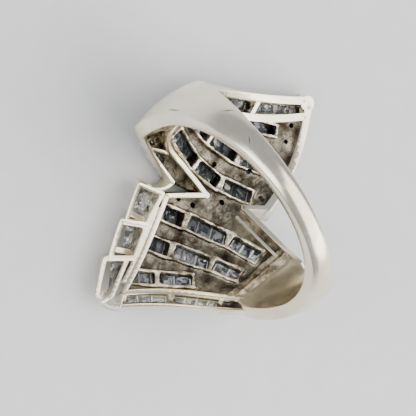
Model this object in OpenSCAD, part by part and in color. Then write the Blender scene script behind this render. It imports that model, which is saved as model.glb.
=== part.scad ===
// Bypass cocktail ring of polished white metal, lying on the front of its head.
// Two pierced fans pass each other across the finger, and a group of three stepped
// boxes ends the lower fan. All sizes are millimetres.
//
// Places on the head are given unrolled, as [s, y]: s is the way round the finger
// from the middle of the head, measured on the wall of the finger hole, and y runs
// along the finger. The head is then bent round the finger.

/* [Finger hole and band] */
// Diameter of the finger hole
hole_d = 17.3; // [16.5:0.1:18.5]
// Thickness of the band down its middle
band_t = 1.35; // [1.2:0.05:1.5]
// Width of the band opposite the head
band_w_bottom = 1.6; // [1.4:0.1:2.4]
// Width of the band where it meets the head
band_w_shoulder = 6.6; // [6.2:0.1:7]

/* [Head] */
// How far the front of the head stands out from the finger hole
head_rise = 2.3; // [2.2:0.05:2.6]
// Depth of the flat that the head rests on
rest_cut = 0.4; // [0.2:0.05:0.45]
// How far the pierced plate lies below the backs of the rails
plate_drop = 0.45; // [0.3:0.05:0.5]
// How far the outer channel of the lower fan lies below the backs of the rails
channel_drop = 0.6; // [0.5:0.05:0.8]
// Width of the rails round the fields
rail_w = 0.45; // [0.4:0.05:0.55]
// Width of the outer rail of the upper fan
wide_rail_w = 0.6; // [0.5:0.05:0.7]
// Width of the walls of the stepped boxes
box_wall = 0.42; // [0.36:0.02:0.5]

/* [Stones] */
// Width of the opening behind a row of field stones, as a share of the stones
window_share = 0.56; // [0.5:0.02:0.6]
// Width of the opening behind a channel of baguettes, as a share of the stones
slot_share = 0.75; // [0.65:0.05:0.8]
// Width of a baguette across the channel of the upper fan
baguette_w = 0.95; // [0.85:0.05:1.05]
// Width of a baguette across the channels of the lower fan and the arm
narrow_baguette_w = 0.7; // [0.6:0.05:0.75]
// Gap between a stone and the metal or the next stone
stone_gap = 0.12; // [0.1:0.01:0.15]
// Height of a field stone above its girdle
crown_h = 0.18; // [0.16:0.02:0.22]
// Depth of a field stone below its girdle
pavilion_h = 0.42; // [0.36:0.02:0.46]

/* [Hidden] */

metal_colour = "gainsboro";
stone_colour = "lightcyan";

hole_r = hole_d / 2;
band_r = hole_r + band_t;

// The front of the head is an arc that meets the outside of the band at the
// shoulders, which lie a little below the finger axis.
shoulder_z = -3;
head_r = hole_r + head_rise;
front_c = (head_r * head_r - band_r * band_r) / (2 * (head_r + shoulder_z));
front_r = head_r - front_c;

// The outside of the band is domed: its edges lie lower by this share of the square
// of half its width
band_dome = 0.075;

// Half the width of the band at heights above the finger axis: the highest row is
// the end away from the head. The band is a little narrower on one side of the
// shoulder that runs into the lower fan.
band_steps = [
    // height, share of the way from the bottom width to the shoulder width, trim
    [11, 0, 0],
    [8.2, 0.1, 0.1],
    [4.7, 0.31, 0.3],
    [0.8, 0.57, 0.4],
    [-2.4, 0.92, 0.25],
    [-3.3, 0.98, 0.05],
    [-4.2, 0.9, 0]
];

// Stones by the flat are set so much deeper that it clears their tables
setting_cut = 0.2;

// Corners of the two fans
lower_notch = [-3.3, -3.5];
upper_notch = [-0.6, -1.4];
lower_corner = [1.4, 1.7];
upper_corner = [-4.5, -5.1];
lower_tip = [-2.9, 9.5];
lower_outer_tip = [-3.5, 10.4];
upper_tip = [0.6, -13.8];
upper_inner_tip = [-0.2, -12.6];
arm_tip = [1.9, 0.6];
shoulder_s = 10.7;

// Long curves of the head, each from a start to an end with a rise in the middle
lower_inner_edge = bow([-shoulder_s, -3.1], lower_notch, -0.3, 6);
lower_rear_rail = bow([-shoulder_s, 2], lower_tip, -0.85, 8);
lower_outer_line = bow([-shoulder_s, 3.1], lower_outer_tip, -0.75, 8);
lower_wide_end = bow(lower_corner, lower_tip, 0.3, 5);
upper_outer_line = bow([shoulder_s, -3], upper_tip, -0.65, 9);
upper_inner_rail = bow([shoulder_s, -1.9], upper_inner_tip, -1.3, 9);
upper_wide_end = bow(upper_corner, upper_tip, -0.55, 6);
arm_line = bow([10.2, 2.95], arm_tip, 0.25, 6);
bridge_line = bow(arm_tip, [3.1, 2.8], 0.45, 4);
lower_leg = bow(upper_notch, lower_corner, 0, 3);
upper_leg = bow(lower_notch, upper_corner, 0, 2);

// The rail round the rounded end of the upper field, from the notch to the shoulder
loop_line = [
    upper_notch,
    [1.1, -1.15],
    [2.9, -0.7],
    [4.4, -0.2],
    [5.5, 0],
    [6.4, -0.2],
    [7.1, -0.9],
    [7.4, -1.9],
    [7.5, -3.5]
];

// Rows of field stones, each a straight window in the plate
lower_windows = [
    // start s, start y, end s, end y, stones, width of the stones
    [0.5, 2.65, -1.1, 1.5, 2, 1.9],
    [-1.55, 1.05, -4.35, -0.55, 3, 1.9],
    [-4.8, -0.8, -7.2, -1.5, 3, 1.9],
    [-0.75, 5.1, -2.3, 4.05, 2, 1.9],
    [-2.7, 3.6, -5.1, 2.05, 3, 1.9],
    [-5.5, 1.75, -7.5, 0.95, 2, 1.7],
    [-2.2, 8, -3.45, 6.5, 2, 1.5],
    [-3.75, 6.05, -5.4, 4.15, 2, 1.5]
];
upper_windows = [
    // start s, start y, end s, end y, stones, width of the stones
    [5.9, -1.15, 2.2, -1.95, 4, 1.6],
    [1.75, -2.1, -0.4, -2.95, 2, 1.8],
    [-0.85, -3.3, -2.9, -4.6, 2, 1.9],
    [5.9, -3.2, 3.4, -4.1, 2, 1.8],
    [3, -4.3, 0.5, -5.55, 3, 1.9],
    [0.05, -5.9, -2.1, -7.6, 2, 1.9],
    [4.6, -5.7, 3, -6.9, 2, 1.2],
    [2.4, -7.6, 0.2, -9.8, 2, 1.3]
];

// Small holes drilled through the plate
drill_d = 0.4;
drilled = [
    [0.9, -3.6],
    [-1.2, -5.9],
    [-3.5, -5.4],
    [-1.9, -2.4],
    [0.4, 0.7],
    [-0.7, -0.1],
    [-0.3, -11.4],
    [-1.1, -10.2]
];

// Slots behind the baguettes: shares of the way along a channel, and the stones
lower_slots = [
    // start, end, baguettes
    [0.27, 0.59, 4],
    [0.64, 0.95, 3]
];
upper_slots = [
    // start, end, baguettes
    [0.38, 0.64, 3],
    [0.69, 0.97, 4]
];
arm_slots = [
    // start, end, baguettes
    [0.03, 0.4, 2],
    [0.48, 0.95, 2]
];

// The stepped boxes, the one nearest the upper fan first: their corners, and how far
// they lean as a share of the lean below
boxes = [
    [[3.9, 3.6], [1.75, 1.95], [0.4, 4], [2.35, 5.45], 1],
    [[2, 6.3], [0.35, 4.5], [-0.95, 6.5], [0.45, 8], 1],
    [[0.3, 8.9], [-0.95, 7.2], [-2.45, 9.8], [-2.15, 11.3], 0.55]
];

// Heights through the head: above the wall of the finger hole, below the front, or
// below the front as far as the flat leaves it for the stones
backs = ["hole", 0];
plate_back = ["hole", plate_drop];
channel_back = ["hole", channel_drop];
arm_back = ["hole", 0.85];
web_back = ["hole", 0.8];
through_back = ["hole", -1];
fronts = ["front", 0];
plate_front = ["front", 0.12];
past_front = ["front", -1];
box_front = ["front", 0.5];
thin_rail_w = 0.3;

// Depths of a stone: from the front of the head to the table, the crown, and below
field_cut = [0.28, crown_h, pavilion_h];
baguette_cut = [0.18, 0.14, 0.3];
step_cut = [0.8, 0.25, 0.6];
girdle_h = 0.06;

// The front falls away towards the outer channels, by this share of the square of
// the distance from the line that runs down the middle between them
front_fall = 0.009;
// How far the outer walls lean in from their backs to their fronts
outer_lean = 0.4;
// The same for the outer corners of the boxes, as a move on the unrolled head
box_lean = [-0.5, -0.65];

// The head reaches further past the band at one end, so the band stands off centre.
head_y_min = upper_tip[1] - wide_rail_w / 2;
head_y_max = moved_in(boxes[2], -box_wall / 2)[3][1];
band_y = -(head_y_min + head_y_max) / 2;
// Height of the finger axis above the surface that the head rests on
axis_z = head_r - rest_cut;

// Lines on the unrolled head

function unit2(v) = v / norm(v);
function bow(a, b, rise, n) = [
    for (i = [0:n])
        let(t = i / n, d = unit2(b - a))
        a + (b - a) * t + 4 * rise * t * (1 - t) * [-d[1], d[0]]
];
function heading(p, i) = unit2(p[min(i + 1, len(p) - 1)] - p[max(i - 1, 0)]);
function beside(p, d) = [
    for (i = [0:len(p) - 1])
        let(t = heading(p, i))
        p[i] + d * [-t[1], t[0]]
];
function runs(p) = [
    for (i = 0, d = 0; i < len(p); d = d + norm(p[min(i + 1, len(p) - 1)] - p[i]), i = i + 1) d
];
function along(p, t) =
    let(r = runs(p), d = t * r[len(p) - 1], k = [for (i = [0:len(p) - 1]) i])
    [for (c = [0, 1]) lookup(d, [for (i = k) [r[i], p[i][c]]])];
function stretch(p, t0, t1, n) = [for (i = [0:n]) along(p, t0 + (t1 - t0) * i / n)];
function between(p, q, n) = [for (i = [0:n]) (along(p, i / n) + along(q, i / n)) / 2];
function reversed(p) = [for (i = [len(p) - 1:-1:0]) p[i]];
function without_first(p) = [for (i = [1:len(p) - 1]) p[i]];

lower_channel = beside(between(lower_rear_rail, lower_outer_line, 12), -0.12);
upper_channel = beside(between(upper_inner_rail, upper_outer_line, 12), -0.12);
arm_channel = [[9.2, 1.85], [7.8, 1.5], [6.4, 1.2], [4.8, 0.85], [3.2, 0.35]];

// From the unrolled head to the bent one

function turn(s) = s / hole_r * 180 / PI;
function front_at(p) =
    let(a = turn(p[0]), v = (p[1] - p[0]) / sqrt(2))
    front_c * cos(a) + sqrt(pow(front_r, 2) - pow(front_c * sin(a), 2))
        - front_fall * pow(v * cos(a), 2);
function setting_at(p) = min(front_at(p), axis_z + setting_cut);
function height_at(level, p) =
    level[0] == "hole" ? hole_r + level[1] :
    level[0] == "setting" ? setting_at(p) - level[1] :
    front_at(p) - level[1];
function bent(p, r) = [r * sin(turn(p[0])), p[1], -r * cos(turn(p[0]))];

// Puts its children at a place on the head, with -Z pointing out through the front
module on_head(p) {
    rotate([0, -turn(p[0]), 0])
        translate([0, p[1], 0])
            children();
}

// Lifts the finished pieces so that the front of the head rests on Z = 0
module resting() {
    translate([0, band_y, axis_z])
        children();
}

// A plate bent round the finger, between the lines a and b. The front is moved by
// lean towards b.
module panel(a, b, across, back, front, lean = 0) {
    n = len(a) - 1;
    row = across + 1;
    layer = (n + 1) * row;
    places = [for (i = [0:n]) for (j = [0:across]) a[i] + (b[i] - a[i]) * j / across];
    leant = [
        for (i = [0:n])
            for (j = [0:across])
                places[i * row + j] + lean * unit2(b[i] - a[i])
    ];
    points = concat(
        [for (p = places) bent(p, height_at(back, p))],
        [for (p = leant) bent(p, height_at(front, p))]
    );
    cells = [for (i = [0:n - 1]) for (j = [0:across - 1]) i * row + j];
    quads = concat(
        [for (c = cells) [c, c + 1, c + row + 1, c + row]],
        [for (c = cells) [layer + c, layer + c + row, layer + c + row + 1, layer + c + 1]],
        [for (i = [0:n - 1]) let(c = i * row) [c, c + row, layer + c + row, layer + c]],
        [for (i = [0:n - 1]) let(c = i * row + across) [c, layer + c, layer + c + row, c + row]],
        [for (j = [0:across - 1]) [j, layer + j, layer + j + 1, j + 1]],
        [for (j = [0:across - 1]) let(c = n * row + j) [c, c + 1, layer + c + 1, layer + c]]
    );
    left_handed = cross(a[n] - a[0], b[0] - a[0]) > 0;
    triangles = [
        for (q = quads)
            for (k = [1, 2])
                left_handed ? [q[0], q[k], q[k + 1]] : [q[k + 1], q[k], q[0]]
    ];
    polyhedron(points = points, faces = triangles);
}

// A rail of even width along a line. A positive lean moves its front to the left.
module rail(path, width, back, front, lean = 0) {
    panel(beside(path, width / 2), beside(path, -width / 2), 1, back, front, lean);
}

// A round post with a softened top at a corner or an end of a rail
module post(p, width, back, front) {
    r_back = height_at(back, p);
    r_front = height_at(front, p);
    softened = 0.08;
    on_head(p)
        hull() {
            translate([0, 0, softened - r_front])
                cylinder(h = r_front - r_back - softened, d = width, $fn = 8);
            translate([0, 0, -r_front])
                cylinder(h = softened, d = width - 2 * softened, $fn = 8);
        }
}

module rail_with_ends(path, width, back, front) {
    rail(path, width, back, front);
    for (p = [path[0], path[len(path) - 1]])
        post(p, width, back, front);
}

// The band

function band_edge(trimmed) = [
    for (b = band_steps)
        let(w = band_w_bottom + (band_w_shoulder - band_w_bottom) * b[1])
        [w / 2 - trimmed * b[2], b[0]]
];

module band_outline(trimmed) {
    far = [for (e = reversed(band_edge(trimmed))) [-e[0], e[1]]];
    polygon(concat(band_edge(0), far));
}

module band() {
    domed = [for (i = [-3:3]) let(y = i * 1.2) [band_r - band_dome * y * y, y]];
    reach = band_r + 1;
    intersection() {
        rotate([90, 0, 0])
            rotate_extrude($fn = 72)
                polygon(concat([[hole_r, 3.6], [hole_r, -3.6]], domed));
        rotate([90, 0, 90])
            union() {
                linear_extrude(height = reach)
                    band_outline(0);
                translate([0, 0, -reach])
                    linear_extrude(height = reach)
                        band_outline(1);
            }
    }
}

// The fans

module lower_plate() {
    near_side = concat(lower_inner_edge, [upper_notch], without_first(lower_leg), without_first(lower_wide_end));
    far_side = stretch(lower_rear_rail, 0, 0.97, len(near_side) - 1);
    panel(near_side, far_side, 5, plate_back, plate_front);
}

module lower_shoulder() {
    near_side = stretch(lower_inner_edge, 0, 0.3, 3);
    far_side = stretch(beside(lower_rear_rail, 0.3), 0, 0.2, 3);
    panel(near_side, far_side, 5, ["hole", 0.12], fronts);
}

module lower_rails() {
    rail_with_ends(lower_inner_edge, rail_w, backs, fronts);
    rail(stretch(beside(lower_inner_edge, 0.95), 0.32, 0.98, 3), thin_rail_w, ["hole", 0.1], plate_front);
    rail([upper_notch, lower_notch], 1, ["hole", plate_drop + 0.05], ["front", 0.2]);
    rail_with_ends(lower_rear_rail, rail_w, backs, fronts);
    rail(lower_outer_line, thin_rail_w, channel_back, fronts, outer_lean);
    rail([lower_tip, lower_outer_tip], rail_w, ["hole", 0.3], ["front", 0.3]);
    rail_with_ends(lower_wide_end, thin_rail_w, backs, fronts);
    rail_with_ends(lower_leg, rail_w, backs, fronts);
    panel(lower_outer_line, lower_rear_rail, 1, channel_back, plate_front, outer_lean);
}

module upper_plate() {
    start = [[7.3, -1.6], [6.6, -0.4]];
    near_side = concat(start, reversed([for (i = [0:4]) loop_line[i]]), upper_leg, without_first(upper_wide_end));
    far_side = concat([[7.5, -3.4]], stretch(upper_inner_rail, 0.3, 1, len(near_side) - 2));
    panel(near_side, far_side, 5, plate_back, plate_front);
}

module upper_shoulder() {
    arm_side = [[shoulder_s, 2.95], [9.9, 2.85], [9.2, 1], [7.6, 0.1]];
    outer_side = stretch(upper_outer_line, 0, 0.28, 3);
    panel(arm_side, outer_side, 6, backs, fronts);
}

module upper_rails() {
    rail(loop_line, rail_w, backs, fronts);
    rail(upper_outer_line, wide_rail_w, backs, fronts, outer_lean);
    post(upper_tip, wide_rail_w, backs, ["front", 0.1]);
    rail_with_ends(stretch(upper_inner_rail, 0.24, 1, 7), 0.7, backs, fronts);
    rail_with_ends(upper_wide_end, wide_rail_w, backs, fronts);
    rail_with_ends(upper_leg, rail_w, backs, fronts);
    panel(upper_outer_line, upper_inner_rail, 1, ["hole", 0.3], plate_front, outer_lean);
}

module arm() {
    outer_side = stretch(arm_line, 0.08, 1, 5);
    inner_side = concat([[8.7, 0.4]], reversed([for (i = [0:4]) loop_line[i]]));
    panel(outer_side, inner_side, 3, arm_back, plate_front);
    rail([[6.9, 2.1], [5.2, 0.2]], thin_rail_w, ["hole", 0.25], plate_front);
    rail(arm_line, thin_rail_w, ["hole", 0.15], fronts);
    post(arm_tip, thin_rail_w, ["hole", 0.15], fronts);
    rail_with_ends(bridge_line, thin_rail_w, ["hole", 0.3], fronts);
    panel([arm_tip, [1.6, 1.2]], [[-0.4, -1.2], [0.2, -0.2]], 1, ["hole", 0.45], plate_front);
}

// A block between an outline at the back and another at the front, both clockwise
module block(outline, front_outline, back, front) {
    n = len(outline);
    points = concat(
        [for (p = outline) bent(p, height_at(back, p))],
        [for (p = front_outline) bent(p, height_at(front, p))]
    );
    faces = concat(
        [for (i = [1:n - 2]) [0, i, i + 1]],
        [for (i = [1:n - 2]) [n, n + i + 1, n + i]],
        [for (i = [0:n - 1]) [(i + 1) % n, i, n + i]],
        [for (i = [0:n - 1]) [(i + 1) % n, n + i, n + (i + 1) % n]]
    );
    polyhedron(points = points, faces = faces);
}

// The corners of an outline moved in by d
function moved_in(q, d) = [
    for (i = [0:3])
        let(a = unit2(q[(i + 3) % 4] - q[i]), b = unit2(q[(i + 1) % 4] - q[i]))
        q[i] + (a + b) * d / abs(cross(a, b))
];
function box_front_of(box) = [
    box[0] + box_lean * box[4],
    box[1],
    box[2],
    box[3] + box_lean * box[4]
];

module box_walls(box) {
    fore = box_front_of(box);
    block(moved_in(box, -box_wall / 2), moved_in(fore, -box_wall / 2), backs, box_front);
}

module box_hollow(box) {
    fore = box_front_of(box);
    block(moved_in(box, box_wall / 2), moved_in(fore, box_wall / 2), through_back, past_front);
}

// The openings

function line_of(w) = [[w[0], w[1]], [(w[0] + w[2]) / 2, (w[1] + w[3]) / 2], [w[2], w[3]]];
function lengthened(p, by) = [
    for (i = [0:len(p) - 1])
        p[i] + by * (i == 0 ? -1 : i == len(p) - 1 ? 1 : 0) * heading(p, i)
];
function depth_of(cut) = cut[0] + cut[1] + girdle_h + cut[2] + stone_gap;

// An opening right through, and the wider seat that the stones are set in
module seat(path, width, share, cut) {
    rail(path, width * share, through_back, past_front);
    rail(lengthened(path, stone_gap), width + 2 * stone_gap, ["setting", depth_of(cut)], past_front);
}

module slot_cut(channel, slot, width) {
    seat(stretch(channel, slot[0], slot[1], 4), width, slot_share, baguette_cut);
}

module drill(p) {
    on_head(p)
        translate([0, 0, -head_r - 1])
            cylinder(h = head_rise + 3, d = drill_d, $fn = 8);
}

module openings() {
    for (w = concat(lower_windows, upper_windows))
        seat(line_of(w), w[5], window_share, field_cut);
    for (slot = lower_slots)
        slot_cut(lower_channel, slot, narrow_baguette_w);
    for (slot = upper_slots)
        slot_cut(upper_channel, slot, baguette_w);
    for (slot = arm_slots)
        slot_cut(arm_channel, slot, narrow_baguette_w);
    for (p = drilled)
        drill(p);
}

// The flat on the front of the head, and the clear way for the finger
module trimmed_away() {
    translate([0, 0, -axis_z - 5])
        cube([40, 60, 10], center = true);
    rotate([90, 0, 0])
        cylinder(r = hole_r, h = 60, center = true, $fn = 72);
}

module mounting() {
    color(metal_colour)
        resting()
            difference() {
                union() {
                    band();
                    difference() {
                        union() {
                            lower_plate();
                            lower_rails();
                            upper_plate();
                            upper_rails();
                            arm();
                        }
                        openings();
                    }
                    lower_shoulder();
                    upper_shoulder();
                    rail(stretch(beside(lower_wide_end, -0.3), 0, 1, 4), 0.6, web_back, plate_front);
                    difference() {
                        for (box = boxes)
                            box_walls(box);
                        for (box = boxes)
                            box_hollow(box);
                    }
                }
                trimmed_away();
            }
}

// The stones

// A step cut stone on four corners of its girdle, with its table towards the front
module cut_stone(corners, cut) {
    centre = (corners[0] + corners[1] + corners[2] + corners[3]) / 4;
    table_share = 0.68;
    keel_share = 0.45;
    ends = [(corners[0] + corners[1]) / 2, (corners[2] + corners[3]) / 2];
    points = concat(
        [for (c = corners) let(p = centre + (c - centre) * table_share) [p[0], p[1], -cut[1]]],
        [for (c = corners) [c[0], c[1], 0]],
        [for (c = corners) [c[0], c[1], girdle_h]],
        [for (e = ends) let(p = centre + (e - centre) * keel_share) [p[0], p[1], girdle_h + cut[2]]]
    );
    sides = [
        for (i = [0:3])
            let(k = (i + 1) % 4)
            each [[i, k, 4 + k], [i, 4 + k, 4 + i], [4 + i, 4 + k, 8 + k], [4 + i, 8 + k, 8 + i]]
    ];
    ends_and_table = [[0, 3, 2], [0, 2, 1], [8, 9, 12], [10, 11, 13]];
    keel_sides = [[9, 10, 13], [9, 13, 12], [11, 8, 12], [11, 12, 13]];
    outward = concat(sides, ends_and_table, keel_sides);
    clockwise = cross(corners[1] - corners[0], corners[2] - corners[1]) < 0;
    polyhedron(
        points = points,
        faces = [for (f = outward) clockwise ? f : [f[2], f[1], f[0]]]
    );
}

// A stone on four unrolled corners, set below the front of the head
module set_stone(corners, cut) {
    centre = (corners[0] + corners[1] + corners[2] + corners[3]) / 4;
    girdle_r = setting_at(centre) - cut[0] - cut[1];
    local = [for (c = corners) [(c[0] - centre[0]) * girdle_r / hole_r, c[1] - centre[1]]];
    on_head(centre)
        translate([0, 0, -girdle_r])
            cut_stone(local, cut);
}

// The corners of stone k of a row of count stones along a line
function row_corners(path, k, count, width) =
    let(a = along(path, k / count),
        b = along(path, (k + 1) / count),
        d = unit2(b - a),
        n = [-d[1], d[0]] * width / 2,
        inset = d * stone_gap / 2)
    [a + inset + n, a + inset - n, b - inset - n, b - inset + n];

module field_stones(windows) {
    color(stone_colour)
        resting()
            for (w = windows)
                for (k = [0:w[4] - 1])
                    set_stone(row_corners(line_of(w), k, w[4], w[5]), field_cut);
}

function slot_of(slots, k) = k < slots[0][2] ? [slots[0], k] : [slots[1], k - slots[0][2]];

module baguette(channel, slots, k, width) {
    pick = slot_of(slots, k);
    slot = pick[0];
    color(stone_colour)
        resting()
            set_stone(row_corners(stretch(channel, slot[0], slot[1], 4), pick[1], slot[2], width), baguette_cut);
}

module step_stone(k) {
    color(stone_colour)
        resting()
            set_stone(moved_in(box_front_of(boxes[k]), box_wall / 2 + stone_gap), step_cut);
}

module lower_baguette(k) {
    baguette(lower_channel, lower_slots, k, narrow_baguette_w);
}

module upper_baguette(k) {
    baguette(upper_channel, upper_slots, k, baguette_w);
}

module arm_baguette(k) {
    baguette(arm_channel, arm_slots, k, narrow_baguette_w);
}

mounting();
field_stones(lower_windows);  // lower_field_stones
field_stones(upper_windows);  // upper_field_stones
step_stone(0);  // step_stone_1
step_stone(1);  // step_stone_2
step_stone(2);  // step_stone_3
lower_baguette(0);  // lower_baguette_1
lower_baguette(1);  // lower_baguette_2
lower_baguette(2);  // lower_baguette_3
lower_baguette(3);  // lower_baguette_4
lower_baguette(4);  // lower_baguette_5
lower_baguette(5);  // lower_baguette_6
lower_baguette(6);  // lower_baguette_7
upper_baguette(0);  // upper_baguette_1
upper_baguette(1);  // upper_baguette_2
upper_baguette(2);  // upper_baguette_3
upper_baguette(3);  // upper_baguette_4
upper_baguette(4);  // upper_baguette_5
upper_baguette(5);  // upper_baguette_6
upper_baguette(6);  // upper_baguette_7
arm_baguette(0);  // arm_baguette_1
arm_baguette(1);  // arm_baguette_2
arm_baguette(2);  // arm_baguette_3
arm_baguette(3);  // arm_baguette_4
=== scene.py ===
import math

import bmesh
import bpy
from mathutils import Matrix, Vector


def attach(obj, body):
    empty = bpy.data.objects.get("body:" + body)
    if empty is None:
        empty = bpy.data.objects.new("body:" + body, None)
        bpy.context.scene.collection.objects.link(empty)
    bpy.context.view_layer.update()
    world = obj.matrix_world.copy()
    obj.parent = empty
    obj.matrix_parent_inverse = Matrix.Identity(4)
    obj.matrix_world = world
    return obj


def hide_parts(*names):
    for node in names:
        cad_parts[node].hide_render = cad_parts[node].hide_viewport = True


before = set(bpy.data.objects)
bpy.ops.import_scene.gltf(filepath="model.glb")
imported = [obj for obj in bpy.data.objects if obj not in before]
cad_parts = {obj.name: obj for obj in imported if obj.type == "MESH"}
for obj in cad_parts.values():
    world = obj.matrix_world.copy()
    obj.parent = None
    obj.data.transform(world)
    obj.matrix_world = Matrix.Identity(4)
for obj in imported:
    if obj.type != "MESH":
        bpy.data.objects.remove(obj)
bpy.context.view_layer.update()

MM = 0.001

# Sizes are in millimetres. The head is modelled flat, as it would lie unrolled: X is the
# way round the finger, Y runs along the finger, and Z is 0 on the wall of the finger hole
# and falls towards the front. A back and a front are depths below that wall. The flat
# head is then domed and bent round the finger.
HOLE_R = 8.65
HEAD_RISE = 2.3
BAND_T = 1.35
BAND_Y = 1.18938
AXIS_Z = 10.55
SHOULDER = 10.7


# Camera and light

# Measured from the middle of the finger hole
CAMERA_FROM_AXIS = (70.8, 94.7, 220.3)
VIEW_DIRECTION = (-0.28, -0.37, -0.886)
VIEW_UP = (0.829, -0.558, -0.029)


def aim(obj, direction, up):
    """Turn obj so that it looks along direction, with up as near its own up as it can be."""
    back = -Vector(direction).normalized()
    right = Vector(up).cross(back).normalized()
    obj.rotation_euler = Matrix((right, back.cross(right), back)).transposed().to_euler()


camera_data = bpy.data.cameras.new("camera")
camera = bpy.data.objects.new("camera", camera_data)
bpy.context.scene.collection.objects.link(camera)
camera.location = Vector((
    CAMERA_FROM_AXIS[0], CAMERA_FROM_AXIS[1] + BAND_Y, CAMERA_FROM_AXIS[2] + AXIS_Z)) * MM
aim(camera, VIEW_DIRECTION, VIEW_UP)
camera_data.lens = 271.5
camera_data.sensor_width = 36
camera_data.clip_start = 0.01
camera_data.clip_end = 5
bpy.context.scene.camera = camera


def soft_light(name, place, target, size, power, colour):
    """A large plain lamp, with its place, target and size in millimetres."""
    data = bpy.data.lights.new(name, "AREA")
    data.shape = "RECTANGLE"
    data.size = size[0] * MM
    data.size_y = size[1] * MM
    data.energy = power
    data.color = colour
    lamp = bpy.data.objects.new(name, data)
    bpy.context.scene.collection.objects.link(lamp)
    lamp.location = Vector(place) * MM
    aim(lamp, Vector(target) - Vector(place), (0, 1, 0.1))


soft_light("key_light", place=(-125, -100, 200), target=(0, 0, 10), size=(420, 400),
           power=0.92, colour=(1, 0.97, 0.91))
soft_light("fill_light", place=(110, 230, 190), target=(10, 0, 5), size=(260, 220),
           power=0.42, colour=(1, 0.98, 0.94))
soft_light("side_light", place=(-330, -150, 80), target=(0, 0, 10), size=(300, 440),
           power=0.34, colour=(1, 0.97, 0.91))
bpy.context.scene.view_settings.look = "AgX - Medium High Contrast"

world = bpy.data.worlds.new("studio")
bpy.context.scene.world = world
world.use_nodes = True
world.node_tree.nodes["Background"].inputs["Color"].default_value = (0.84, 0.87, 0.92, 1)
world.node_tree.nodes["Background"].inputs["Strength"].default_value = 0.5


# Materials

def new_material(name):
    """A new material with its node tree and its shader."""
    material = bpy.data.materials.new(name)
    material.use_nodes = True
    return material, material.node_tree, material.node_tree.nodes["Principled BSDF"]


def set_input(tree, node, name, value):
    """Link an input of node to value where that is a socket, or else give it the value."""
    if isinstance(value, bpy.types.NodeSocket):
        tree.links.new(value, node.inputs[name])
    else:
        node.inputs[name].default_value = value


def add_node(tree, kind, inputs, **settings):
    node = tree.nodes.new("ShaderNode" + kind)
    for name, value in settings.items():
        setattr(node, name, value)
    for name, value in inputs.items():
        set_input(tree, node, name, value)
    return node.outputs


def object_place(tree):
    return add_node(tree, "TexCoord", {})["Object"]


def noise(tree, place, scale, **inputs):
    """Noise at a place, with its scale in turns to the metre and other inputs by name."""
    named = {name.capitalize(): value for name, value in inputs.items()}
    return add_node(tree, "TexNoise", {"Vector": place, "Scale": scale, **named})["Fac"]


def spread(tree, value, to, given=(0, 1)):
    """The value, carried from the range it is given in to another."""
    return add_node(tree, "MapRange", {
        "Value": value, "From Min": given[0], "From Max": given[1],
        "To Min": to[0], "To Max": to[1]})["Result"]


def scaled(tree, vector, factor):
    return add_node(tree, "VectorMath", {0: vector, "Scale": factor}, operation="SCALE")["Vector"]


def colour_ramp(tree, factor, stops, interpolation="LINEAR"):
    """Factor as a colour, with stops given as pairs of a position and a colour."""
    stops = list(stops)
    colour = add_node(tree, "ValToRGB", {"Fac": factor})["Color"]
    ramp = colour.node.color_ramp
    ramp.interpolation = interpolation
    while len(ramp.elements) < len(stops):
        ramp.elements.new(0.5)
    for element, (position, value) in zip(ramp.elements, stops):
        element.position = position
        element.color = (*value, 1)
    return colour


def make_metal_wear():
    """Cast and polished metal: cloudy tone, pits and faint scratches."""
    group = bpy.data.node_groups.new("metal_wear", "ShaderNodeTree")
    for name, value in (("Cloud Scale", 300.0), ("Pit Scale", 2500.0), ("Scratch Amount", 0.3)):
        socket = group.interface.new_socket(name, in_out="INPUT", socket_type="NodeSocketFloat")
        socket.default_value = value
    for name in ("Clouds", "Pits", "Height"):
        group.interface.new_socket(name, in_out="OUTPUT", socket_type="NodeSocketFloat")
    given = group.nodes.new("NodeGroupInput").outputs
    place = object_place(group)
    clouds = noise(group, place, given["Cloud Scale"], detail=3)
    pits = noise(group, place, given["Pit Scale"], detail=5, roughness=0.6)
    stretched = add_node(group, "Mapping", {
        "Vector": place, "Rotation": (0.3, 0.5, 0.7), "Scale": (6000, 300, 900)})["Vector"]
    lines = spread(group, noise(group, stretched, 1, detail=2), (0, 1), (0.66, 0.74))
    faint = add_node(
        group, "Math", {0: lines, 1: given["Scratch Amount"]}, operation="MULTIPLY")["Value"]
    height = add_node(group, "Math", {0: pits, 1: faint}, operation="SUBTRACT")["Value"]
    result = group.nodes.new("NodeGroupOutput")
    for name, value in (("Clouds", clouds), ("Pits", pits), ("Height", height)):
        set_input(group, result, name, value)
    return group


metal_wear = make_metal_wear()


CLOUD_STOPS = (0.3, 0.62)
RIM_TONE = 1.4           # of the recess metal above the depths where it darkens, lifted there like polish on high spots together with painted light


def metal_finish(name, dark, light, rough, bump, clouds, pits, scratches, shade=None):
    """A metal whose colour and roughness run between two ends with the clouds and pits.
    Bump is a strength and a height in millimetres. With shade, the metal darkens between
    two depths in millimetres, down to a share, and is brightened above the first depth:
    oxide in the hollows and polish on the high spots, together with painted shade and painted
    light."""
    material, tree, shader = new_material(name)
    shader.inputs["Metallic"].default_value = 1
    wear = add_node(tree, "Group", {
        "Cloud Scale": clouds, "Pit Scale": pits, "Scratch Amount": scratches},
        node_tree=metal_wear)
    colour = colour_ramp(tree, wear["Clouds"], zip(CLOUD_STOPS, (dark, light)))
    if shade:
        depth = add_node(tree, "Attribute", {}, attribute_name="depth")["Fac"]
        colour = scaled(tree, colour, spread(tree, depth, (RIM_TONE, shade[2]), shade[:2]))
    set_input(tree, shader, "Base Color", colour)
    set_input(tree, shader, "Roughness", spread(tree, wear["Pits"], rough))
    set_input(tree, shader, "Normal", add_node(tree, "Bump", {
        "Strength": bump[0], "Distance": bump[1] * MM, "Height": wear["Height"]})["Normal"])
    return material


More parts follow.
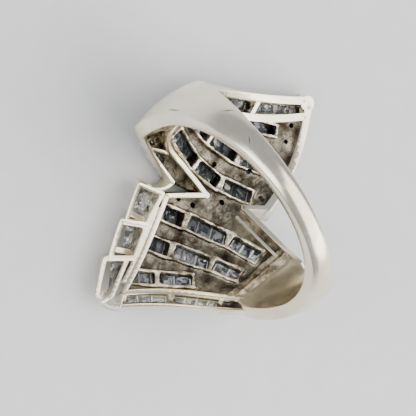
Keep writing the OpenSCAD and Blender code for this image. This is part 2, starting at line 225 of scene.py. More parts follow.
polished = metal_finish(
    "polished_white_metal", dark=(0.8, 0.73, 0.6), light=(0.95, 0.9, 0.77),
    rough=(0.14, 0.32), bump=(0.25, 0.02), clouds=260, pits=1500, scratches=0.35)
# The recess metal darkens with depth: oxide in the hollows together with painted shade, and its
# high spots carry painted light.
recessed = metal_finish(
    "recess_metal_oxide_and_painted_shade", dark=(0.12, 0.097, 0.07), light=(0.72, 0.66, 0.55),
    rough=(0.05, 0.24), bump=(1, 0.3), clouds=900, pits=1100, scratches=0.1,
    shade=(0.22, 0.62, 0.35))

# Short nicks in the polish of the band: middle, turn and half lengths in millimetres
NICKS = (
    ((9.77, 2.87, 12.13), (-0.438, -1.305, -2.342), (0.8, 0.1, 0.5)),
    ((8.23, 0.62, 16.11), (-0.92, -0.27, -2.081), (0.63, 0.1, 0.5)),
    ((6.04, 1.38, 18.46), (0.503, -0.414, 2.387), (0.41, 0.05, 0.5)),
)
NICK_TONE = 0.3
NICK_CORE = 0.3          # share of the half lengths that is darkened evenly


def add_nicks(material):
    """Darken the metal along each nick."""
    tree = material.node_tree
    shader = tree.nodes["Principled BSDF"]
    place = object_place(tree)
    colour = shader.inputs["Base Color"].links[0].from_socket
    for middle, turn, reach in NICKS:
        local = add_node(tree, "Mapping", {
            "Vector": place, "Location": Vector(middle) * MM, "Rotation": turn,
            "Scale": Vector(reach) * MM}, vector_type="TEXTURE")["Vector"]
        away = add_node(tree, "VectorMath", {0: local}, operation="LENGTH")["Value"]
        colour = scaled(tree, colour, spread(tree, away, (NICK_TONE, 1), (NICK_CORE, 1)))
    set_input(tree, shader, "Base Color", colour)


add_nicks(polished)


FACET_SCALE = 1900
FACET_TILT = 1.3
# Painted glints: white cells, with darker blue-grey cells of painted shade on the facets
PAINTED_GLINT_TONES = ((0, (0.62, 0.68, 0.76)), (0.4, (0.94, 0.98, 1)), (0.66, (1, 1, 1)))
HAZE_SCALE = 2000


def clear_stone():
    """Clear stone whose inner facets are cells, each with its own tilt and a painted tone: white
    painted glints and darker blue-grey painted shade.
    """
    material, tree, shader = new_material("clear_cut_stone")
    shader.inputs["Transmission Weight"].default_value = 0.78
    shader.inputs["IOR"].default_value = 2.0
    place = object_place(tree)
    facets = add_node(tree, "TexVoronoi", {"Vector": place, "Scale": FACET_SCALE})["Color"]
    centred = add_node(
        tree, "VectorMath", {0: facets, 1: (0.5, 0.5, 0.5)}, operation="SUBTRACT")["Vector"]
    surface = add_node(tree, "NewGeometry", {})["Normal"]
    tilt = scaled(tree, centred, FACET_TILT)
    turned = add_node(tree, "VectorMath", {0: surface, 1: tilt}, operation="ADD")["Vector"]
    set_input(tree, shader, "Normal", add_node(
        tree, "VectorMath", {0: turned}, operation="NORMALIZE")["Vector"])
    # The cells' tones are painted glints and painted shade, seen in the stone's diffuse share
    set_input(tree, shader, "Base Color", colour_ramp(tree, facets, PAINTED_GLINT_TONES, "CONSTANT"))
    set_input(tree, shader, "Roughness", spread(tree, noise(tree, place, HAZE_SCALE), (0, 0.05)))
    return material


def floor_finish():
    material, tree, shader = new_material("pale_floor")
    shader.inputs["Roughness"].default_value = 0.6
    grain = noise(tree, object_place(tree), scale=400)
    set_input(tree, shader, "Base Color", colour_ramp(
        tree, grain, ((0, (0.76, 0.77, 0.79)), (1, (0.82, 0.83, 0.85)))))
    return material


stone = clear_stone()

FLOOR_SIZE_M = 1.2
bpy.ops.object.select_all(action="DESELECT")
bpy.ops.mesh.primitive_plane_add(size=FLOOR_SIZE_M, location=(0, 0, 0))
floor = bpy.context.object
floor.name = "floor"
floor.data.materials.append(floor_finish())


# Lines on the flat head, as lists of (s, y)

def bow(a, b, rise, n):
    """A bowed line from a to b, in n parts, with its middle moved sideways by rise."""
    a, b = Vector(a), Vector(b)
    d = (b - a).normalized()
    side = Vector((-d.y, d.x))
    shares = [i / n for i in range(n + 1)]
    return [a + (b - a) * t + side * (4 * rise * t * (1 - t)) for t in shares]


def beside(path, d):
    """The path, moved sideways by d."""
    out = []
    for i, p in enumerate(path):
        t = (path[min(i + 1, len(path) - 1)] - path[max(i - 1, 0)]).normalized()
        out.append(p + d * Vector((-t.y, t.x)))
    return out


def along(path, t):
    """The point at a share t of the length of the path."""
    lengths = [0.0]
    for a, b in zip(path, path[1:]):
        lengths.append(lengths[-1] + (b - a).length)
    d = t * lengths[-1]
    for i in range(len(path) - 1):
        if d <= lengths[i + 1] or i == len(path) - 2:
            share = (d - lengths[i]) / (lengths[i + 1] - lengths[i])
            return path[i] + (path[i + 1] - path[i]) * share


def part_of(path, t0, t1, n):
    return [along(path, t0 + (t1 - t0) * i / n) for i in range(n + 1)]


def midway(p, q, n):
    return [(along(p, i / n) + along(q, i / n)) / 2 for i in range(n + 1)]


def points(*pairs):
    return [Vector(p) for p in pairs]


def lengthened(path, by):
    d0 = (path[0] - path[1]).normalized()
    d1 = (path[-1] - path[-2]).normalized()
    return [path[0] + d0 * by] + path[1:-1] + [path[-1] + d1 * by]


def outline(corners, d):
    """The corners of a closed outline, moved in by d."""
    out = []
    n = len(corners)
    for i in range(n):
        a = (corners[(i - 1) % n] - corners[i]).normalized()
        b = (corners[(i + 1) % n] - corners[i]).normalized()
        out.append(corners[i] + (a + b) * d / abs(a.x * b.y - a.y * b.x))
    return out


LOWER_NOTCH = (-3.3, -3.5)
UPPER_NOTCH = (-0.6, -1.4)
LOWER_CORNER = (1.4, 1.7)
UPPER_CORNER = (-4.5, -5.1)
LOWER_TIP = (-2.9, 9.5)
LOWER_OUTER_TIP = (-3.5, 10.4)
UPPER_TIP = (0.6, -13.8)
UPPER_INNER_TIP = (-0.2, -12.6)
UPPER_TIP_POST = (0.53, -13.5)
ARM_TIP = (1.9, 0.6)

lower_inner_edge = bow((-SHOULDER, -3.1), LOWER_NOTCH, -0.3, 12)
lower_rear_rail = bow((-SHOULDER, 2), LOWER_TIP, -0.85, 16)
lower_outer_line = bow((-SHOULDER, 3.1), LOWER_OUTER_TIP, -0.75, 16)
lower_wide_end = bow(LOWER_CORNER, LOWER_TIP, 0.3, 10)
upper_outer_line = bow((SHOULDER, -3), UPPER_TIP, -0.65, 18)
upper_inner_rail = bow((SHOULDER, -1.9), UPPER_INNER_TIP, -1.3, 18)
upper_wide_end = bow(UPPER_CORNER, UPPER_TIP, -0.78, 12)
arm_line = bow((10.5, 2.95), ARM_TIP, 0.08, 12)
bridge_line = bow(ARM_TIP, (3.1, 2.8), 0.45, 6)
loop_line = points(
    UPPER_NOTCH, (0.2, -1.3), (1.1, -1.15), (2, -0.93), (2.9, -0.7), (3.7, -0.44), (4.4, -0.2),
    (5, -0.05), (5.5, 0), (6, -0.05), (6.4, -0.2), (6.8, -0.48), (7.1, -0.9), (7.3, -1.4),
    (7.4, -1.9), (7.5, -3.5))
CHANNEL_SHIFT = -0.12    # of the baguettes off the middle of their channel
lower_channel = beside(midway(lower_rear_rail, lower_outer_line, 12), CHANNEL_SHIFT)
upper_channel = beside(midway(upper_inner_rail, upper_outer_line, 12), CHANNEL_SHIFT)
arm_channel = points((9.2, 1.85), (7.8, 1.5), (6.4, 1.2), (4.8, 0.85), (3.2, 0.35))
arm_side = points(
    (SHOULDER, 2.95), (10.2, 2.9), (9.7, 2.6), (9.1, 1.7), (8.6, 0.9), (8, 0.4), (7.5, 0.2))

# Windows over the rows of stones: start, end, width of the stones
LOWER_WINDOWS = (
    ((0.5, 2.65), (-1.1, 1.5), 1.9),
    ((-1.55, 1.05), (-4.35, -0.55), 1.9),
    ((-4.8, -0.8), (-7.2, -1.5), 1.9),
    ((-0.75, 5.1), (-2.3, 4.05), 1.9),
    ((-2.7, 3.6), (-5.1, 2.05), 1.9),
    ((-5.5, 1.75), (-7.5, 0.95), 1.7),
    ((-2.2, 8), (-3.45, 6.5), 1.5),
    ((-3.75, 6.05), (-5.4, 4.15), 1.5),
)
UPPER_WINDOWS = (
    ((5.9, -1.15), (2.2, -1.95), 1.6),
    ((1.75, -2.1), (-0.4, -2.95), 1.8),
    ((-0.85, -3.3), (-2.9, -4.6), 1.9),
    ((5.9, -3.2), (3.4, -4.1), 1.8),
    ((3, -4.3), (0.5, -5.55), 1.9),
    ((0.05, -5.9), (-2.1, -7.6), 1.9),
    ((4.6, -5.7), (3, -6.9), 1.2),
    ((2.4, -7.6), (0.2, -9.8), 1.3),
)
ROWS = (LOWER_WINDOWS[0:3], LOWER_WINDOWS[3:6], LOWER_WINDOWS[6:8],
        UPPER_WINDOWS[0:3], UPPER_WINDOWS[3:6], UPPER_WINDOWS[6:8])
WINDOW_SHARE = 0.56

# Slots over the baguettes, as shares of the length of their channel
LOWER_SLOTS = ((0.27, 0.59), (0.64, 0.95))
UPPER_SLOTS = ((0.38, 0.64), (0.69, 0.97))
ARM_SLOTS = ((0.03, 0.4), (0.48, 0.95))
SLOT_SHARE = 0.75
BAGUETTE_W = 0.95
NARROW_BAGUETTE_W = 0.7

# Seats cut from the front round each row of stones
STONE_DEPTH = 1.3
BAGUETTE_DEPTH = 0.9
SEAT_PLAY = 0.12
CUT_BACK = -0.5
CUT_FRONT = 3

DRILL_W = 0.4
DRILLED = (
    (0.9, -3.6), (-1.2, -5.9), (-3.5, -5.4), (-1.9, -2.4), (0.4, 0.7), (-0.7, -0.1),
    (-0.3, -11.4), (-1.1, -10.2))

# Depths of the floors, and how far the fronts of the outer walls lean in
PLATE_DROP = 0.6
CHANNEL_DROP = 0.6
LOWER_FLOOR_DROP = CHANNEL_DROP + 0.25
UPPER_FLOOR_DROP = 0.55
ARM_DROP = 0.95
PLATE_FRONT = HEAD_RISE - 0.12
OUTER_LEAN_LOWER = (0.28, -0.28)
OUTER_LEAN_UPPER = (-0.29, 0.27)

# Lips round the windows, set off from the edge of the opening
LIP_W = 0.3
LIP_DROP = 0.2
LIP_OFF = 0.16
LIP_BEYOND = 0.3
END_LIP_W = 0.2
END_LIP_DROP = 0.24
END_LIP_OFF = 0.14
END_LIP_BEYOND = 0.1
LIP_FRONT = PLATE_DROP + 0.5
LIP_ROUNDING = 0.06

# Rails and posts
RAIL_W = 0.45
WIDE_RAIL_W = 0.72
THIN_RAIL_W = 0.3
RAIL_ROUNDING = 0.18
NOTCH_POST_W = 0.58
NOTCH_POST_ROUNDING = 0.09
TIP_POST_W = 1.35
TIP_POST_ROUNDING = 0.12
LOWER_BARS = (0.245, 0.615, 0.975)
UPPER_BARS = (0.36, 0.665)
LOWER_BAR_SHORT = 0.5    # how far the lower bars end before the outer line

# Stepped boxes: corners of the rim, bar inside it, lean, wall and drop of the rim
BOXES = (
    (((3.9, 3.6), (1.75, 1.95), (0.42, 4.42), (1.72, 5.96)),
     ((0.4, 4), (1.8, 5.02)), 1, 0.42, 0.03),
    (((2, 6.3), (0.35, 4.5), (-1.17, 6.9), (0.01, 8.74)),
     ((-0.85, 6.55), (0.05, 7.56)), 1, 0.5, 0),
    (((0.24, 9.1), (-0.85, 7.4), (-2.5, 10.4), (-2.38, 11.35), (-1.75, 11.4)),
     ((-2.35, 9.75), (-1.9, 10.9)), 0.5, 0.42, 0.03),
)
BOX_LEAN = Vector((-0.5, -0.65))
BOX_FRONT = HEAD_RISE - 0.5
BOX_OUTER_R = 0.26
BOX_INNER_R = 0.1
BOX_ROUNDING = 0.11
BOX_BAR_W = 0.5
BOX_BAR_DROP = 1.2
BOX_BAR_ROUNDING = 0.09
LEAN_BELOW = 1.5         # depth past which the corners of a box lean in
LEAN_REACH = 0.6         # from the corner of the rim to the points that lean with it
UPRIGHT_LEAST = 0.5      # height of an edge that counts as upright


# Modelling helpers

def activate(obj):
    bpy.ops.object.select_all(action="DESELECT")
    obj.select_set(True)
    bpy.context.view_layer.objects.active = obj


def edit(obj):
    activate(obj)
    bpy.ops.object.mode_set(mode="EDIT")


def done():
    bpy.ops.object.mode_set(mode="OBJECT")


def pick(obj, test):
    """Select the vertices of obj, in edit mode, that pass test in millimetres."""
    bpy.ops.mesh.select_all(action="DESELECT")
    mesh = bmesh.from_edit_mesh(obj.data)
    for v in mesh.verts:
        if test(v.co / MM):
            v.select = True
    mesh.select_flush(True)
    bmesh.update_edit_mesh(obj.data)


def apply_modifier(obj, kind, **settings):
    activate(obj)
    modifier = obj.modifiers.new(kind.lower(), kind)
    for name, value in settings.items():
        setattr(modifier, name, value)
    bpy.ops.object.modifier_apply(modifier=modifier.name)


def new_plane(name, unwanted):
    """A small plane in edit mode, less its vertices that pass the test."""
    bpy.ops.object.select_all(action="DESELECT")
    bpy.ops.mesh.primitive_plane_add(size=MM)
    obj = bpy.context.object
    obj.name = name
    edit(obj)
    pick(obj, unwanted)
    bpy.ops.mesh.delete(type="VERT")
    bpy.ops.mesh.select_all(action="SELECT")
    return obj


def thicken(way):
    """Draw the sheet in edit mode out into a closed solid, and leave edit mode."""
    bpy.ops.mesh.extrude_region_move(TRANSFORM_OT_translate={"value": way})
    bpy.ops.mesh.select_all(action="SELECT")
    bpy.ops.mesh.normals_make_consistent(inside=False)
    done()


def sheet(name, line, back, front):
    """A flat solid inside a closed outline, drawn point to point, filled and thickened."""
    obj = new_plane(name, lambda co: co.x < 0 or co.y < 0)
    here = line[0]
    bpy.ops.transform.translate(value=((here.x - 0.5) * MM, (here.y - 0.5) * MM, -back * MM))
    for place in line[1:]:
        bpy.ops.mesh.extrude_region_move(TRANSFORM_OT_translate={
            "value": ((place.x - here.x) * MM, (place.y - here.y) * MM, 0)})
        here = place
    bpy.ops.mesh.select_all(action="SELECT")
    bpy.ops.mesh.edge_face_add()
    thicken((0, 0, (back - front) * MM))
    return obj


def strip(name, left, right, back, front, lean=(0, 0), closed=False):
    """A flat solid between two lines. One edge is drawn out from pair to pair, and the
    sheet is then thickened from its back to its front, which may lean sideways."""
    obj = new_plane(name, lambda co: co.x < 0)
    middle, angle, length = Vector((0.5, 0)), math.pi / 2, 1.0
    pairs = list(zip(left, right))
    if closed:
        pairs.append(pairs[0])
    for i, (a, b) in enumerate(pairs):
        if i:
            bpy.ops.mesh.extrude_region_move()
        to, way = (a + b) / 2, a - b
        lift = 0 if i else -back * MM
        bpy.ops.transform.translate(value=((to.x - middle.x) * MM, (to.y - middle.y) * MM, lift))
        centre = (to.x * MM, to.y * MM, -back * MM)
        turn = math.atan2(way.y, way.x) - angle
        turn = (turn + math.pi) % (2 * math.pi) - math.pi
        bpy.ops.transform.rotate(value=-turn, orient_axis="Z", center_override=centre)
        k = way.length / length
        bpy.ops.transform.resize(value=(k, k, 1), center_override=centre)
        middle, angle, length = to, angle + turn, way.length
    bpy.ops.mesh.select_all(action="SELECT")
    if closed:
        bpy.ops.mesh.remove_doubles(threshold=0.002 * MM)
    thicken((lean[0] * MM, lean[1] * MM, (back - front) * MM))
    return obj


def rail(name, path, width, back, front, lean=(0, 0)):
    return strip(name, beside(path, width / 2), beside(path, -width / 2), back, front, lean)


def post(name, place, width, back, front):
    bpy.ops.object.select_all(action="DESELECT")
    bpy.ops.mesh.primitive_cylinder_add(
        vertices=20, radius=width / 2 * MM, depth=(front - back) * MM,
        location=(place[0] * MM, place[1] * MM, -(front + back) / 2 * MM))
    obj = bpy.context.object
    obj.name = name
    bpy.ops.object.transform_apply(location=True, rotation=True, scale=True)
    return obj


def join(name, objs):
    bpy.ops.object.select_all(action="DESELECT")
    for o in objs:
        o.select_set(True)
    bpy.context.view_layer.objects.active = objs[0]
    bpy.ops.object.join()
    objs[0].name = name
    return objs[0]


def cut_away(obj, cutter):
    apply_modifier(obj, "BOOLEAN", operation="DIFFERENCE", object=cutter, solver="EXACT")
    return obj


def rounded(obj, width, segments=2):
    apply_modifier(obj, "BEVEL", width=width * MM, segments=segments, limit_method="ANGLE",
                   angle_limit=math.radians(40))
    return obj


def smooth(obj, degrees):
    activate(obj)
    bpy.ops.object.shade_smooth_by_angle(angle=math.radians(degrees))


def only_material(obj, material):
    obj.data.materials.clear()
    obj.data.materials.append(material)


# The flat head

def model_plates():
    lower = sheet(
        "lower_plate",
        lower_inner_edge + points(UPPER_NOTCH) + lower_wide_end
        + part_of(lower_rear_rail, 0, 0.97, 14)[::-1],
        PLATE_DROP, PLATE_FRONT)
    upper = sheet(
        "upper_plate",
        loop_line[::-1] + points(LOWER_NOTCH) + upper_wide_end
        + part_of(upper_inner_rail, 0.3, 1, 14)[::-1],
        PLATE_DROP, PLATE_FRONT)
    lower_floor = strip("lower_channel_floor", lower_outer_line, lower_rear_rail,
                        LOWER_FLOOR_DROP, PLATE_FRONT, OUTER_LEAN_LOWER)
    upper_floor = strip("upper_channel_floor", upper_outer_line, upper_inner_rail,
                        UPPER_FLOOR_DROP, PLATE_FRONT, OUTER_LEAN_UPPER)
    arm_floor = sheet("arm_floor",
                      part_of(arm_line, 0.08, 1, 9) + loop_line[:9] + points((8.7, 0.4)),
                      ARM_DROP, PLATE_FRONT)
    return [lower, upper, lower_floor, upper_floor, arm_floor]


def model_cutters():
    """What is cut right through the head, and the seats that are cut from its front."""
    through, seats = [], []

    def open_row(path, width, share, depth):
        through.append(rail("through_cut", path, width * share, CUT_BACK, CUT_FRONT))
        seats.append(rail("seat_cut", lengthened(path, SEAT_PLAY), width + 2 * SEAT_PLAY,
                          HEAD_RISE - depth, CUT_FRONT))

    for start, end, width in LOWER_WINDOWS + UPPER_WINDOWS:
        a, b = Vector(start), Vector(end)
        open_row([a, (a + b) / 2, b], width, WINDOW_SHARE, STONE_DEPTH)
    for channel, slots, width in (
            (lower_channel, LOWER_SLOTS, NARROW_BAGUETTE_W),
            (upper_channel, UPPER_SLOTS, BAGUETTE_W),
            (arm_channel, ARM_SLOTS, NARROW_BAGUETTE_W)):
        for t0, t1 in slots:
            open_row(part_of(channel, t0, t1, 6), width, SLOT_SHARE, BAGUETTE_DEPTH)
    for place in DRILLED:
        through.append(post("drill_cut", place, DRILL_W, CUT_BACK, CUT_FRONT))
    through, seats = join("through_cuts", through), join("seat_cuts", seats)
    reach = sheet("reach", points((-12, -15), (12, -15), (12, 14), (-12, 14)),
                  back=-0.4, front=2.9)
    for cutter in (through, seats):
        apply_modifier(cutter, "BOOLEAN", operation="INTERSECT", object=reach, solver="EXACT",
                       use_self=True)
    bpy.data.objects.remove(reach)
    return through, seats


def model_lips():
    """Raised lips round the openings, and the steps of the lower shoulder."""
    lips = []
    for row in ROWS:
        reach = min(width for start, end, width in row) * WINDOW_SHARE / 2 + LIP_OFF
        ends = [Vector(p) for start, end, width in row for p in (start, end)]
        line = lengthened(ends, LIP_BEYOND)
        for side in (1, -1):
            lips.append(rail("row_lip", beside(line, side * reach), LIP_W, LIP_DROP, LIP_FRONT))
        for start, end, width in row:
            a, b = Vector(start), Vector(end)
            d = (b - a).normalized()
            n = Vector((-d.y, d.x)) * (reach + END_LIP_BEYOND)
            for middle in (a - d * END_LIP_OFF, b + d * END_LIP_OFF):
                lips.append(rail("end_lip", [middle + n, middle - n],
                                 END_LIP_W, END_LIP_DROP, LIP_FRONT))
    rear = beside(lower_rear_rail, 0.3)
    lips.append(strip("lower_shoulder", part_of(lower_inner_edge, 0, 0.3, 5),
                      part_of(rear, 0, 0.2, 5), back=0.16, front=HEAD_RISE))
    lips.append(strip("lower_shoulder_step", part_of(lower_inner_edge, 0.28, 0.4, 3),
                      part_of(rear, 0.18, 0.27, 3), back=0.36, front=HEAD_RISE))
    return [rounded(o, LIP_ROUNDING, segments=1) for o in lips]


def model_rails():
    """The polished rails along the edges, the bars across the channels and the posts."""
    rails = []

    def plain(name, path, width=RAIL_W, back=0, front=HEAD_RISE, lean=(0, 0)):
        rails.append(rounded(rail(name, path, width, back, front, lean), width * RAIL_ROUNDING))

    def ended(name, path, width=RAIL_W, back=0, front=HEAD_RISE):
        """A rail with a round post at each end."""
        plain(name, path, width, back, front)
        for end in (path[0], path[-1]):
            rails.append(rounded(
                post(name + "_end", end, width, back, front), width * RAIL_ROUNDING))

    ended("lower_inner_rail", lower_inner_edge)
    ended("lower_inner_ridge", part_of(beside(lower_inner_edge, 0.95), 0.32, 0.98, 8),
          width=0.26, back=0.3, front=1.5)
    ended("tail_web", points((-2.3, 11.1), (-2.95, 10.9), LOWER_OUTER_TIP),
          width=0.42, back=0.08, front=BOX_FRONT)
    ended("lower_rear_rail", lower_rear_rail)
    plain("lower_outer_rail", lower_outer_line, width=0.28, back=CHANNEL_DROP,
          lean=OUTER_LEAN_LOWER)
    plain("lower_end_rail", points(LOWER_TIP, LOWER_OUTER_TIP), back=0.3, front=HEAD_RISE - 0.3)
    ended("lower_wide_end_rail", lower_wide_end)
    plain("box_side_rail", part_of(beside(lower_wide_end, -0.35), 0.12, 0.9, 8),
          width=0.5, back=0.14, front=BOX_FRONT)
    ended("lower_left_leg", points(UPPER_NOTCH, LOWER_CORNER))
    plain("loop_rail", lengthened(loop_line, -0.12))
    for notch in (UPPER_NOTCH, LOWER_NOTCH):
        rails.append(rounded(
            post("notch_post", notch, NOTCH_POST_W, back=0.01, front=HEAD_RISE),
            NOTCH_POST_ROUNDING))
    plain("upper_outer_rail", part_of(upper_outer_line, 0, 0.983, 16), WIDE_RAIL_W,
          lean=OUTER_LEAN_UPPER)
    rails.append(rounded(
        post("upper_tip_post", UPPER_TIP_POST, TIP_POST_W, back=0, front=HEAD_RISE - 0.1),
        TIP_POST_ROUNDING))
    ended("upper_inner_rail", part_of(upper_inner_rail, 0.24, 1, 12), width=0.7)
    ended("upper_wide_end_rail", part_of(upper_wide_end, 0, 0.97, 11), WIDE_RAIL_W)
    ended("upper_right_leg", points(LOWER_NOTCH, UPPER_CORNER))
    plain("arm_rail", arm_line, THIN_RAIL_W, back=0.1)
    ended("bridge_rail", bridge_line, THIN_RAIL_W, back=0.3)
    ended("arm_bar", points((6.5, 1.75), (4.6, 0.1)), THIN_RAIL_W, back=0.25, front=PLATE_FRONT)
    for t in LOWER_BARS:
        a, b = along(lower_rear_rail, t), along(lower_outer_line, t)
        plain("lower_channel_bar", [a, b + (a - b).normalized() * LOWER_BAR_SHORT],
              width=0.4, back=CHANNEL_DROP - 0.15, front=PLATE_FRONT)
    for t in UPPER_BARS:
        plain("upper_channel_bar", [along(upper_inner_rail, t), along(upper_outer_line, t)],
              back=0.15, front=PLATE_FRONT)
    return rails


def model_shoulder():
    return strip("upper_shoulder", arm_side, part_of(upper_outer_line, 0, 0.28, 6),
                 back=0.04, front=HEAD_RISE)


def model_box(corners, wall, back, share):
    """Four walls round a stone, with rounded corners, leaning in towards the front."""
    corners = points(*corners)
    box = strip("stepped_box", outline(corners, -wall / 2), outline(corners, wall / 2),
                back, BOX_FRONT, closed=True)
    edit(box)
    for corner in (corners[0], *corners[3:]):
        pick(box, lambda co: co.z < -LEAN_BELOW and (co.xy - corner).length < LEAN_REACH
             and corner == min(corners, key=lambda c: (c - co.xy).length))
        bpy.ops.transform.translate(value=(BOX_LEAN.x * share * MM, BOX_LEAN.y * share * MM, 0))
    middle = sum(corners, Vector((0, 0))) / len(corners)
    for outside, radius in ((True, BOX_OUTER_R), (False, BOX_INNER_R)):
        mesh = bmesh.from_edit_mesh(box.data)
        bpy.ops.mesh.select_all(action="DESELECT")
        for e in mesh.edges:
            top = max((v.co for v in e.verts), key=lambda co: co.z) / MM
            near = min(corners, key=lambda c: (c - top.xy).length)
            further = (top.xy - middle).length > (near - middle).length
            upright = abs(e.verts[0].co.z - e.verts[1].co.z) > UPRIGHT_LEAST * MM
            e.select = upright and further == outside
        bpy.ops.mesh.bevel(offset=radius * MM, segments=3, clamp_overlap=True)
    done()
    return rounded(box, BOX_ROUNDING)


def model_boxes():
    boxes = []
    for rim, bar, share, wall, back in BOXES:
        boxes.append(model_box(rim, wall, back, share))
        boxes.append(rounded(
            rail("box_bar", points(*bar), BOX_BAR_W, BOX_BAR_DROP, BOX_FRONT), BOX_BAR_ROUNDING))
    return boxes


SLICE_SHIFT = 0.0037     # keeps the cuts off the points that lie on round numbers


def slice_flat(obj, step, axis):
    """Cut the flat mesh across at even steps along X or Y, so that it bends smoothly."""
    edit(obj)
    reach = [v.co[axis] / MM for v in bmesh.from_edit_mesh(obj.data).verts]
    normal = (1, 0, 0) if axis == 0 else (0, 1, 0)
    place = math.ceil(min(reach) / step) * step
    while place < max(reach):
        bpy.ops.mesh.select_all(action="SELECT")
        at = (place + SLICE_SHIFT) * MM
        bpy.ops.mesh.bisect(plane_co=(at, at, 0), plane_no=normal, threshold=0.00000001)
        place += step
    done()


# The dome of the front, and the band

FRONT_FALL = 0.009
SHOULDER_Z = -3
ARM_SLOPE = 0.273
ARM_LIFT = 0.5
ARM_EDGE = (-0.35, 0.05)
ARM_START = (0.8, 2)
MAX_LIFT = 1.9
MIDDLE_LIFT = 0.35       # share of the front's lift that the middle of a cage gets
BLEND_FROM = 9.3
BAND_SEAM = 0.03

BAND_DOME = 0.075
BAND_EDGE = 0.3
BAND_MAX_FALL = 0.7
SHOULDER_EDGE = 0.48
SHOULDER_PROUD = 0.28
SHOULDER_ANGLES = (math.radians(45), math.radians(85))
BAND_REACH = math.radians(116) * HOLE_R
BAND_ROUNDING = 0.14
STATION_PLAY = 0.05
MIDDLE_PLAY = 0.01

# Height over the finger axis, half width, and trim on one side
BAND_STEPS = (
    (11, 0.8, 0), (8.2, 1.05, 0.1), (4.7, 1.575, 0.3), (0.8, 2.225, 0.4), (-2.4, 3.1, 0.25),
    (-3.3, 3.25, 0.05), (-4.2, 3.05, 0))


def ramp(value, low, high):
    return max(0.0, min(1.0, (value - low) / (high - low)))


def band_half_width(angle, trimmed):
    """Half the width at an angle from the far side of the band."""
    z = (HOLE_R + BAND_T) * math.cos(angle)
    for (z1, w1, t1), (z0, w0, t0) in zip(BAND_STEPS, BAND_STEPS[1:]):
        if z >= z0:
            k = ramp(z, z0, z1)
            return w0 + (w1 - w0) * k - trimmed * (t0 + (t1 - t0) * k)
    return BAND_STEPS[-1][1]


def band_drop(s, y):
    """How far the outside of the band falls towards its edges. The shoulders are fuller
    in the middle than the thin far side."""
    angle = abs(s) / HOLE_R
    share = min(1.0, abs(y) / band_half_width(angle, 0))
    thin = min(BAND_MAX_FALL, BAND_DOME * y * y + BAND_EDGE * share ** 2)
    full = SHOULDER_EDGE * share ** 2 - SHOULDER_PROUD
    return thin + (full - thin) * ramp(angle, *SHOULDER_ANGLES)


def front_depth(s, y):
    """How far the front lies below the wall of the finger hole: a dome about a line below
    the finger axis, that falls off towards the far corners of the head."""
    head_r, band_r = HOLE_R + HEAD_RISE, HOLE_R + BAND_T
    offset = (head_r ** 2 - band_r ** 2) / (2 * (head_r + SHOULDER_Z))
    radius = head_r - offset
    angle = s / HOLE_R
    across = (y - s) / math.sqrt(2)
    dome = offset * math.cos(angle) + math.sqrt(radius * radius - (offset * math.sin(angle)) ** 2)
    return dome - FRONT_FALL * (across * math.cos(angle)) ** 2 - HOLE_R


def front_drop(s, y):
    """How far the front is lifted from flat: the dome of the head, run into the band's."""
    head = HEAD_RISE - front_depth(max(-SHOULDER, min(SHOULDER, s)), y)
    arm_y = ARM_TIP[1] + ARM_SLOPE * (s - ARM_TIP[0])
    head += ARM_LIFT * ramp(y - arm_y, *ARM_EDGE) * ramp(s, *ARM_START)
    band = HEAD_RISE - BAND_T + band_drop(math.pi * HOLE_R - abs(s), y) + BAND_SEAM
    return max(0.0, min(MAX_LIFT, head + (band - head) * ramp(abs(s), BLEND_FROM, SHOULDER)))


def lift_front(obj, name, low, high, counts, drop_at):
    """Lift the front of obj by drop_at with a cage, and its middle a little."""
    data = bpy.data.lattices.new(name)
    data.points_u, data.points_v, data.points_w = counts
    for way in "uvw":
        setattr(data, "interpolation_type_" + way, "KEY_LINEAR")
    cage = bpy.data.objects.new(name, data)
    bpy.context.scene.collection.objects.link(cage)
    low, high = Vector(low), Vector(high)
    middle = (low + high) / 2
    cell = Vector([size / (n - 1) for size, n in zip(high - low, counts)])
    cage.location = middle * MM
    cage.scale = cell * MM
    for p in data.points:
        drop = drop_at(middle.x + p.co.x * cell.x, middle.y + p.co.y * cell.y)
        share = 1 if p.co.z < -0.25 else MIDDLE_LIFT if p.co.z < 0.25 else 0
        p.co_deform.z = p.co.z + share * drop / cell.z
    apply_modifier(obj, "LATTICE", object=cage)
    bpy.data.objects.remove(cage)


def bend_round_finger(obj, turned=False):
    """Bend a flat piece round the finger: under it, or over it when turned."""
    obj.rotation_euler = (math.pi / 2, 0, 0)
    activate(obj)
    bpy.ops.object.transform_apply(location=False, rotation=True, scale=False)
    length = max(v.co.x for v in obj.data.vertices) - min(v.co.x for v in obj.data.vertices)
    apply_modifier(obj, "SIMPLE_DEFORM", deform_method="BEND", deform_axis="Z",
                   angle=-length / (HOLE_R * MM))
    if turned:
        obj.rotation_euler = (math.pi / 2, 0, math.pi)
        obj.location = (0, BAND_Y * MM, (AXIS_Z + HOLE_R) * MM)
    else:
        obj.rotation_euler = (-math.pi / 2, 0, 0)
        obj.location = (0, BAND_Y * MM, (AXIS_Z - HOLE_R) * MM)
    bpy.ops.object.transform_apply(location=True, rotation=True, scale=True)


def keep_depth(obj):
    """Store how deep each point lies below the wall of the finger hole, in millimetres."""
    depth = obj.data.attributes.new("depth", "FLOAT", "POINT")
    for i, v in enumerate(obj.data.vertices):
        depth.data[i].value = -v.co.z / MM


def roughen(obj, name, size, strength):
    """Move the surface in and out by clouds of a size, both in millimetres."""
    clouds = bpy.data.textures.new(name, "CLOUDS")
    clouds.noise_scale = size * MM
    apply_modifier(obj, "DISPLACE", texture=clouds, strength=strength * MM, mid_level=0.5)


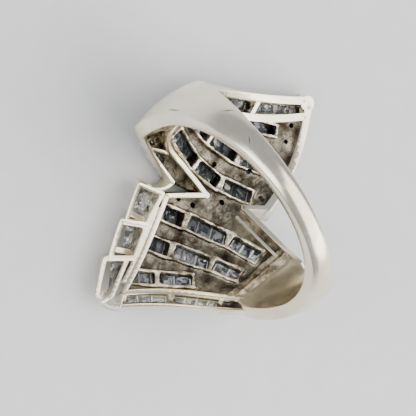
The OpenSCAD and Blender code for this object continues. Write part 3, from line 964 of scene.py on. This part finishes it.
def model_recess(through, seats):
    """The pierced plates with their lips, melted together like a casting."""
    plates = [cut_away(cut_away(o, through), seats) for o in model_plates()]
    lips = [cut_away(o, through) for o in model_lips()]
    recess = join("recess", plates + lips)
    apply_modifier(recess, "REMESH", mode="VOXEL", voxel_size=0.1 * MM)
    apply_modifier(recess, "SMOOTH", factor=0.5, iterations=2)
    roughen(recess, "cast_lumps", size=0.5, strength=0.09)
    roughen(recess, "cast_dents", size=1.3, strength=0.2)
    apply_modifier(recess, "DECIMATE", ratio=0.6)
    only_material(recess, recessed)
    return recess


def model_head():
    through, seats = model_cutters()
    recess = model_recess(through, seats)
    frames = [cut_away(o, seats) for o in model_rails()] + model_boxes()
    frames.append(cut_away(model_shoulder(), seats))
    frames = join("frames", frames)
    only_material(frames, polished)
    bpy.data.objects.remove(through)
    bpy.data.objects.remove(seats)
    slice_flat(frames, step=0.2, axis=0)
    slice_flat(frames, step=0.4, axis=1)
    smooth(frames, 25)
    smooth(recess, 50)
    head = join("head", [frames, recess])
    keep_depth(head)
    apply_modifier(head, "TRIANGULATE")
    lift_front(head, "head_dome", low=(-12, -15, -HEAD_RISE), high=(12, 13, 0),
               counts=(49, 57, 3), drop_at=front_drop)
    bend_round_finger(head)
    edit(head)
    pick(head, lambda co: co.z < 0)
    bpy.ops.transform.resize(value=(1, 1, 0), center_override=(0, 0, 0))
    done()
    return head


def model_band():
    """A flat strip, tapered station by station, thickened, domed and bent round."""
    stations, lanes = 116, 12
    bpy.ops.object.select_all(action="DESELECT")
    bpy.ops.mesh.primitive_grid_add(x_subdivisions=stations, y_subdivisions=lanes, size=MM)
    band = bpy.context.object
    band.name = "band"
    edit(band)
    bpy.ops.mesh.select_all(action="SELECT")
    bpy.ops.transform.resize(value=(2 * BAND_REACH, 2, 1), center_override=(0, 0, 0))
    for i in range(stations + 1):
        s = (i / stations * 2 - 1) * BAND_REACH
        for side, trimmed in ((1, 0), (-1, 1 if s > 0 else 0)):
            half_width = band_half_width(abs(s) / HOLE_R, trimmed)
            pick(band, lambda co: abs(co.x - s) < STATION_PLAY and side * co.y > MIDDLE_PLAY)
            bpy.ops.transform.resize(value=(1, half_width, 1), center_override=(0, 0, 0))
    bpy.ops.mesh.select_all(action="SELECT")
    thicken((0, 0, -BAND_T * MM))
    rounded(band, BAND_ROUNDING, segments=3)
    keep_depth(band)
    lift_front(band, "band_dome", low=(-18, -3.6, -BAND_T), high=(18, 3.6, 0),
               counts=(61, 25, 2), drop_at=band_drop)
    bend_round_finger(band, turned=True)
    band.data.materials.append(polished)
    smooth(band, 35)
    apply_modifier(band, "WEIGHTED_NORMAL", keep_sharp=True)
    return band


head = join("ring_metal", [model_head(), model_band()])
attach(head, "root")
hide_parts("mounting")

for name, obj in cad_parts.items():
    if name != "mounting":
        only_material(obj, stone)
